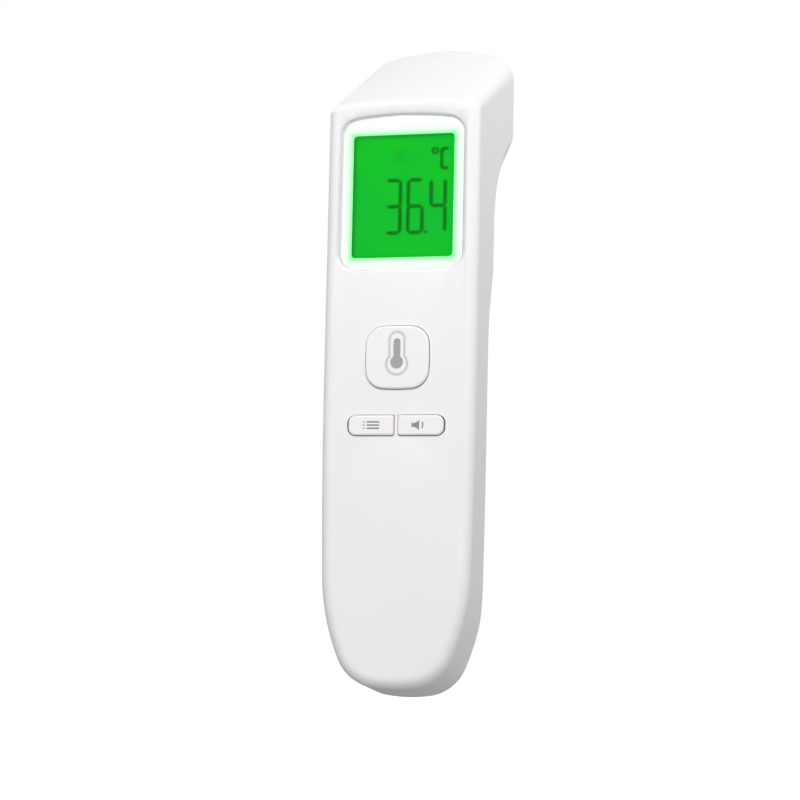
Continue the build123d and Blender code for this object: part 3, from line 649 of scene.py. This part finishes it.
def buildBarTree():
    # one bar with pointed ends on each point, all of one length and turned alike
    tree = bpy.data.node_groups.new("barsOnPoints", "GeometryNodeTree")
    tree.interface.new_socket("Points", in_out="INPUT", socket_type="NodeSocketGeometry")
    sizes = {"Length": 4 * mm, "Width": 0.7 * mm, "Thickness": filmThickness, "Turn": 0.0}
    for label, value in sizes.items():
        socket = tree.interface.new_socket(label, in_out="INPUT", socket_type="NodeSocketFloat")
        socket.default_value = value
    tree.interface.new_socket("Material", in_out="INPUT", socket_type="NodeSocketMaterial")
    tree.interface.new_socket("Bars", in_out="OUTPUT", socket_type="NodeSocketGeometry")
    entry = addNode(tree, "NodeGroupInput")
    leave = addNode(tree, "NodeGroupOutput")
    prism = addNode(tree, "GeometryNodeMeshCylinder", fill_type="NGON")
    setInputs(prism, {"Vertices": 6, "Radius": 1.0})
    tree.links.new(entry.outputs["Thickness"], prism.inputs["Depth"])
    corner = addNode(tree, "ShaderNodeSeparateXYZ")
    tree.links.new(addNode(tree, "GeometryNodeInputPosition").outputs[0], corner.inputs[0])
    halfLength = mathStep(tree, "MULTIPLY", entry.outputs["Length"], 0.5)
    halfWidth = mathStep(tree, "MULTIPLY", entry.outputs["Width"], 0.5)
    side = mathStep(tree, "DIVIDE", corner.outputs["Y"], math.sin(math.radians(60)))     # -1, 0 or 1
    shorter = mathStep(tree, "MULTIPLY", mathStep(tree, "ABSOLUTE", side), halfWidth)
    reach = mathStep(tree, "SUBTRACT", halfLength, shorter)
    alongBar = mathStep(tree, "MULTIPLY", mathStep(tree, "SIGN", corner.outputs["X"]), reach)
    target = addNode(tree, "ShaderNodeCombineXYZ")
    tree.links.new(alongBar, target.inputs["X"])
    tree.links.new(mathStep(tree, "MULTIPLY", side, halfWidth), target.inputs["Y"])
    tree.links.new(corner.outputs["Z"], target.inputs["Z"])
    shaped = addNode(tree, "GeometryNodeSetPosition")
    tree.links.new(prism.outputs["Mesh"], shaped.inputs["Geometry"])
    tree.links.new(target.outputs[0], shaped.inputs["Position"])
    turn = addNode(tree, "ShaderNodeCombineXYZ")
    tree.links.new(mathStep(tree, "RADIANS", entry.outputs["Turn"]), turn.inputs["Z"])
    turned = addNode(tree, "GeometryNodeTransform")
    tree.links.new(shaped.outputs["Geometry"], turned.inputs["Geometry"])
    tree.links.new(turn.outputs[0], turned.inputs["Rotation"])
    stood = addNode(tree, "GeometryNodeTransform")
    stood.inputs["Rotation"].default_value = (math.radians(90), 0, 0)
    tree.links.new(turned.outputs["Geometry"], stood.inputs["Geometry"])
    placed = addNode(tree, "GeometryNodeInstanceOnPoints")
    tree.links.new(entry.outputs["Points"], placed.inputs["Points"])
    tree.links.new(stood.outputs["Geometry"], placed.inputs["Instance"])
    real = addNode(tree, "GeometryNodeRealizeInstances")
    tree.links.new(placed.outputs["Instances"], real.inputs["Geometry"])
    inked = addNode(tree, "GeometryNodeSetMaterial")
    tree.links.new(real.outputs["Geometry"], inked.inputs["Geometry"])
    tree.links.new(entry.outputs["Material"], inked.inputs["Material"])
    tree.links.new(inked.outputs["Geometry"], leave.inputs["Bars"])
    return tree


barTree = buildBarTree()


def barsMesh(name, places, values, material):
    # the tree's bars on (x, z) places, as a plain mesh
    points = bpy.data.meshes.new(name + "Points")
    points.from_pydata([(x, 0, z) for x, z in places], [], [])
    holder = newObject(name + "Holder", points)
    modifier = holder.modifiers.new("bars", "NODES")
    modifier.node_group = barTree
    entries = [item for item in barTree.interface.items_tree if item.in_out == "INPUT"]
    identifiers = {item.name: item.identifier for item in entries}
    for label, value in dict(values, Material=material).items():
        modifier[identifiers[label]] = value
    mesh = bpy.data.meshes.new_from_object(holder.evaluated_get(bpy.context.evaluated_depsgraph_get()))
    holder.modifiers.remove(modifier)
    bpy.data.objects.remove(holder)
    return mesh


# print on the measure button and the keys

thermometerMark = {
    "low": -4.3 * mm, "high": 6.1 * mm, "tube": 2.05 * mm, "bulb": 2.75 * mm, "line": 0.6 * mm,
    "stem": 0.82 * mm, "stemTop": 4.3 * mm, "core": 1.5 * mm, "coreLift": 0.4 * mm}
listMark = {
    "rows": 3, "pitch": 0.72 * mm, "bar": 3.1 * mm, "width": 0.36 * mm, "barShift": 0.55 * mm,
    "dot": 0.5 * mm, "dotShift": -1.6 * mm}
speakerMark = {
    "boxLow": -1.55 * mm, "boxHigh": -0.75 * mm, "boxHalf": 0.48 * mm, "mouth": 0.25 * mm,
    "mouthHalf": 1.12 * mm, "shift": -0.5 * mm, "wave": 1.8 * mm, "waveLine": 0.34 * mm, "waveTurn": 24}

lineInk = printInk("lineInk", lineInkFinish)
solidInk = printInk("solidInk", solidInkFinish)
keyInk = printInk("keyInk", keyInkFinish)


def bulbOutline(tube, bulb, top, centreZ):
    # round-topped tube that opens into a round bulb
    meet = math.degrees(math.acos(tube / bulb))
    return (arcPoints((0, centreZ), bulb, 180 - meet, 360 + meet, steps=40)
            + arcPoints((0, top - tube), tube, 0, 180, steps=20))


def shifted(points, x, z):
    return [(px + x, pz + z) for px, pz in points]


def middleOf(node):
    low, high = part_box(node)
    return (low.x + high.x) / 2, (low.z + high.z) / 2


def makeThermometerMark(mark):
    x, z = middleOf("measure_switch")
    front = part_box("measure_button")[0].y
    bulbZ = mark["low"] + mark["bulb"]
    outer = bulbOutline(mark["tube"], mark["bulb"], mark["high"], bulbZ)
    line = mark["line"]
    inner = bulbOutline(mark["tube"] - line, mark["bulb"] - line, mark["high"] - line, bulbZ)
    core = bulbOutline(mark["stem"], mark["core"], mark["stemTop"], bulbZ + mark["coreLift"])
    frameMesh = loopMesh("thermometerLine", shifted(outer, x, z), [shifted(inner, x, z)])
    coreMesh = loopMesh("thermometerCore", shifted(core, x, z))
    sheetAt("thermometer_line", frameMesh, lineInk, front, "measure_button_body")
    sheetAt("thermometer_core", coreMesh, solidInk, front, "measure_button_body")


def makeListMark(mark):
    x, z = middleOf("memory_switch")
    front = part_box("memory_key")[0].y
    rows = [z + (row - (mark["rows"] - 1) / 2) * mark["pitch"] for row in range(mark["rows"])]
    parts = []
    for part, shift in (("bar", "barShift"), ("dot", "dotShift")):
        sizes = {"Length": mark[part], "Width": mark["width"], "Thickness": filmThickness}
        parts.append(barsMesh(part + "s", [(x + mark[shift], row) for row in rows], sizes, keyInk))
    sheetAt("list_mark", joinMeshes("listMark", parts), keyInk, front, "memory_key_body")


def makeSpeakerMark(mark):
    x, z = middleOf("sound_switch")
    x += mark["shift"]
    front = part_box("sound_key")[0].y
    cone = [(mark["boxLow"], -mark["boxHalf"]), (mark["boxHigh"], -mark["boxHalf"]),
            (mark["mouth"], -mark["mouthHalf"]), (mark["mouth"], mark["mouthHalf"]),
            (mark["boxHigh"], mark["boxHalf"]), (mark["boxLow"], mark["boxHalf"])]
    turn, half, centre = mark["waveTurn"], mark["waveLine"] / 2, (mark["boxHigh"], 0)
    wave = (arcPoints(centre, mark["wave"] + half, -turn, turn, steps=10)
            + arcPoints(centre, mark["wave"] - half, turn, -turn, steps=10))
    parts = [loopMesh("speakerCone", shifted(cone, x, z)), loopMesh("speakerWave", shifted(wave, x, z))]
    sheetAt("speaker_mark", joinMeshes("speakerMark", parts), keyInk, front, "sound_key_body")


makeThermometerMark(thermometerMark)
makeListMark(listMark)
makeSpeakerMark(speakerMark)
print("marks printed")


# what the display shows

# places are from the middle of the display; "lit" names segments, a to f clockwise from the top, g inside
reading = {
    "digits": (
        {"x": -2.6 * mm, "lit": "abcdg"},
        {"x": 2.6 * mm, "lit": "acdefg"},
        {"x": 8.0 * mm, "lit": "bcfg"}),
    "z": -2.25 * mm, "width": 4.25 * mm, "height": 13.2 * mm, "stroke": 0.92 * mm, "gap": 0.1 * mm,
    "pointX": 5.2 * mm, "pointZ": -8.35 * mm, "pointRadius": 0.42 * mm}
unit = {
    "x": 9.5 * mm, "z": 8.75 * mm, "lit": "adef",
    "width": 2.5 * mm, "height": 5.4 * mm, "stroke": 0.84 * mm, "gap": -0.2 * mm,
    "ringX": 7.1 * mm, "ringZ": 10.6 * mm, "ringRadius": 0.92 * mm, "ringLine": 0.56 * mm}
faintSign = {"x": -1.6 * mm, "z": 9.6 * mm, "head": 0.62 * mm, "shoulders": 1.25 * mm}

digitInk = segmentInk("digitInk", digitFinish)
faintInk = segmentInk("faintInk", faintFinish)
displayFront = panelLow.y - 0.75 * filmThickness     # leaves a quarter of the film's thickness free


def segmentPlaces(size, x, z, lit):
    # (level places, upright places) of the lit segments of one seven-segment sign
    across = size["width"] / 2 - size["stroke"] / 2
    up = size["height"] / 2 - size["stroke"] / 2
    level = {"a": up, "g": 0, "d": -up}
    upright = {"b": (1, 1), "c": (1, -1), "e": (-1, -1), "f": (-1, 1)}
    sides = [upright[name] for name in lit if name in upright]
    return ([(x, z + level[name]) for name in lit if name in level],
            [(x + sideways * across, z + half * up / 2) for sideways, half in sides])


def signMeshes(name, size, signs):
    levels, uprights = [], []
    for x, z, lit in signs:
        flat, tall = segmentPlaces(size, x, z, lit)
        levels += flat
        uprights += tall
    common = {"Width": size["stroke"], "Thickness": filmThickness}
    wide = size["width"] - size["stroke"] - size["gap"]
    high = size["height"] / 2 - size["stroke"] / 2 - size["gap"]
    return [barsMesh(name + "Level", levels, dict(common, Length=wide), digitInk),
            barsMesh(name + "Upright", uprights, dict(common, Length=high, Turn=90.0), digitInk)]


def makeReading():
    middle = display["middleZ"]
    signs = [(digit["x"], middle + reading["z"], digit["lit"]) for digit in reading["digits"]]
    parts = signMeshes("digits", reading, signs)
    point = circle((reading["pointX"], middle + reading["pointZ"]), reading["pointRadius"], steps=16)
    parts.append(loopMesh("decimalPoint", point))
    parts += signMeshes("unit", unit, [(unit["x"], middle + unit["z"], unit["lit"])])
    centre = (unit["ringX"], middle + unit["ringZ"])
    outer, inner = unit["ringRadius"], unit["ringRadius"] - unit["ringLine"]
    hole = circle(centre, inner, steps=24)
    parts.append(loopMesh("degreeRing", circle(centre, outer, steps=24), [hole]))
    sheetAt("reading", joinMeshes("reading", parts), digitInk, displayFront, "housing")


def makeFaintSign(sign):
    x, z = sign["x"], display["middleZ"] + sign["z"]
    shoulders = sign["shoulders"]
    head = loopMesh("signHead", circle((x, z + sign["head"]), sign["head"], steps=20))
    body = loopMesh("signBody", arcPoints((x, z - shoulders), shoulders, 0, 180, steps=16))
    sheetAt("faint_sign", joinMeshes("faintSign", (head, body)), faintInk, displayFront, "housing")


makeReading()
makeFaintSign(faintSign)
print("display drawn")


# floor, light and camera

# the floor lies lower than the open battery door reaches
floorSet = {
    "half": 3.0, "drop": 0.07, "toneA": (0.96, 0.96, 0.96, 1), "toneB": (0.94, 0.94, 0.94, 1),
    "glow": 0.6, "cloud": 8.0, "cloudLow": 0.3, "cloudHigh": 0.7, "smooth": 0.7, "rough": 0.8}


def makeFloor(values):
    half, z = values["half"], -values["drop"]
    corners = [(-half, -half, z), (half, -half, z), (half, half, z), (-half, half, z)]
    mesh = bpy.data.meshes.new("floor")
    mesh.from_pydata(corners, [], [(0, 1, 2, 3)])
    floor = newObject("floor", mesh)
    material, tree, shader = newMaterial("paleFloor", Emission_Color=(1, 1, 1, 1),
                                         Emission_Strength=values["glow"])
    cloud = noise(tree, objectPoint(tree), values["cloud"])
    tone = mixColour(tree, cloud, values["toneA"], values["toneB"])
    gloss = remap(tree, cloud, values["cloudLow"], values["cloudHigh"], values["smooth"], values["rough"])
    tree.links.new(tone, shader.inputs["Base Color"])
    tree.links.new(gloss, shader.inputs["Roughness"])
    mesh.materials.append(material)
    floor.visible_diffuse = False
    floor.visible_glossy = False


# each range says over which part of the direction's Z, X or Y the light changes
worldSet = {
    "below": 0.36, "above": 0.64, "heightRange": (-0.5, 0.6), "left": 0.6, "right": 1.13,
    "sideRange": (-0.9, 0.9), "frontGain": 2.2, "frontRange": (-1.0, -0.3), "seen": 1.0}


def makeWorld(values):
    # soft surround: brightest in front and above, dimmer to the left, plain white as a background
    world = bpy.data.worlds.new("studio")
    world.use_nodes = True
    tree = world.node_tree
    tree.nodes.clear()
    split = addNode(tree, "ShaderNodeSeparateXYZ")
    tree.links.new(addNode(tree, "ShaderNodeTexCoord").outputs["Generated"], split.inputs[0])
    surround = addNode(tree, "ShaderNodeBackground")
    surround.inputs["Color"].default_value = (1, 1, 1, 1)
    level = remap(tree, split.outputs["Z"], *values["heightRange"], values["below"], values["above"])
    share = remap(tree, split.outputs["X"], *values["sideRange"], values["left"], values["right"])
    gain = remap(tree, split.outputs["Y"], *values["frontRange"], values["frontGain"], 1.0)
    strength = mathStep(tree, "MULTIPLY", mathStep(tree, "MULTIPLY", level, share), gain)
    tree.links.new(strength, surround.inputs["Strength"])
    seen = addNode(tree, "ShaderNodeBackground")
    setInputs(seen, {"Color": (1, 1, 1, 1), "Strength": values["seen"]})
    chosen = addNode(tree, "ShaderNodeMixShader")
    tree.links.new(addNode(tree, "ShaderNodeLightPath").outputs["Is Camera Ray"], chosen.inputs[0])
    tree.links.new(surround.outputs[0], chosen.inputs[1])
    tree.links.new(seen.outputs[0], chosen.inputs[2])
    tree.links.new(chosen.outputs[0], addNode(tree, "ShaderNodeOutputWorld").inputs["Surface"])
    bpy.context.scene.world = world


softboxes = {
    "keyLight": {"at": (-0.04, -0.42, 0.40), "aim": 0.14, "size": 0.20, "power": 1.12},
    "sideLight": {"at": (0.14, 0.0, 0.19), "aim": 0.14, "size": 0.10, "power": 0.07},
    "backLight": {"at": (-0.70, 0.60, 0.65), "aim": 0.08, "size": 0.40, "power": 2.8},
}


def makeSoftbox(name, values):
    light = bpy.data.lights.new(name, "AREA")
    light.size = values["size"]
    light.energy = values["power"]
    lamp = newObject(name, light)
    lamp.location = values["at"]
    lamp.visible_camera = False
    aim = Vector((0, 0, values["aim"])) - Vector(values["at"])
    lamp.rotation_euler = aim.to_track_quat("-Z", "Y").to_euler()


cameraSet = {
    "yaw": 14.52, "pitch": 6.18, "roll": 1.22, "aim": (-0.00468, 0, 0.06952), "distance": 0.5,
    "lens": 94.95, "clipStart": 0.01}


def makeCamera(values):
    yaw, pitch, roll = (math.radians(values[name]) for name in ("yaw", "pitch", "roll"))
    ahead = Vector((-math.sin(yaw) * math.cos(pitch), math.cos(yaw) * math.cos(pitch), math.sin(pitch)))
    right = Vector((math.cos(yaw), math.sin(yaw), 0))
    up = right.cross(ahead)
    tiltedRight = math.cos(roll) * right + math.sin(roll) * up
    tiltedUp = math.cos(roll) * up - math.sin(roll) * right
    turn = Matrix((tiltedRight, tiltedUp, -ahead)).transposed().to_4x4()
    lens = bpy.data.cameras.new("camera")
    lens.lens = values["lens"]
    lens.clip_start = values["clipStart"]
    camera = newObject("camera", lens)
    camera.matrix_world = Matrix.Translation(Vector(values["aim"]) - ahead * values["distance"]) @ turn
    bpy.context.scene.camera = camera


makeFloor(floorSet)
makeWorld(worldSet)
for name, values in softboxes.items():
    makeSoftbox(name, values)
makeCamera(cameraSet)
bpy.context.scene.view_settings.view_transform = "Standard"
print("studio set")
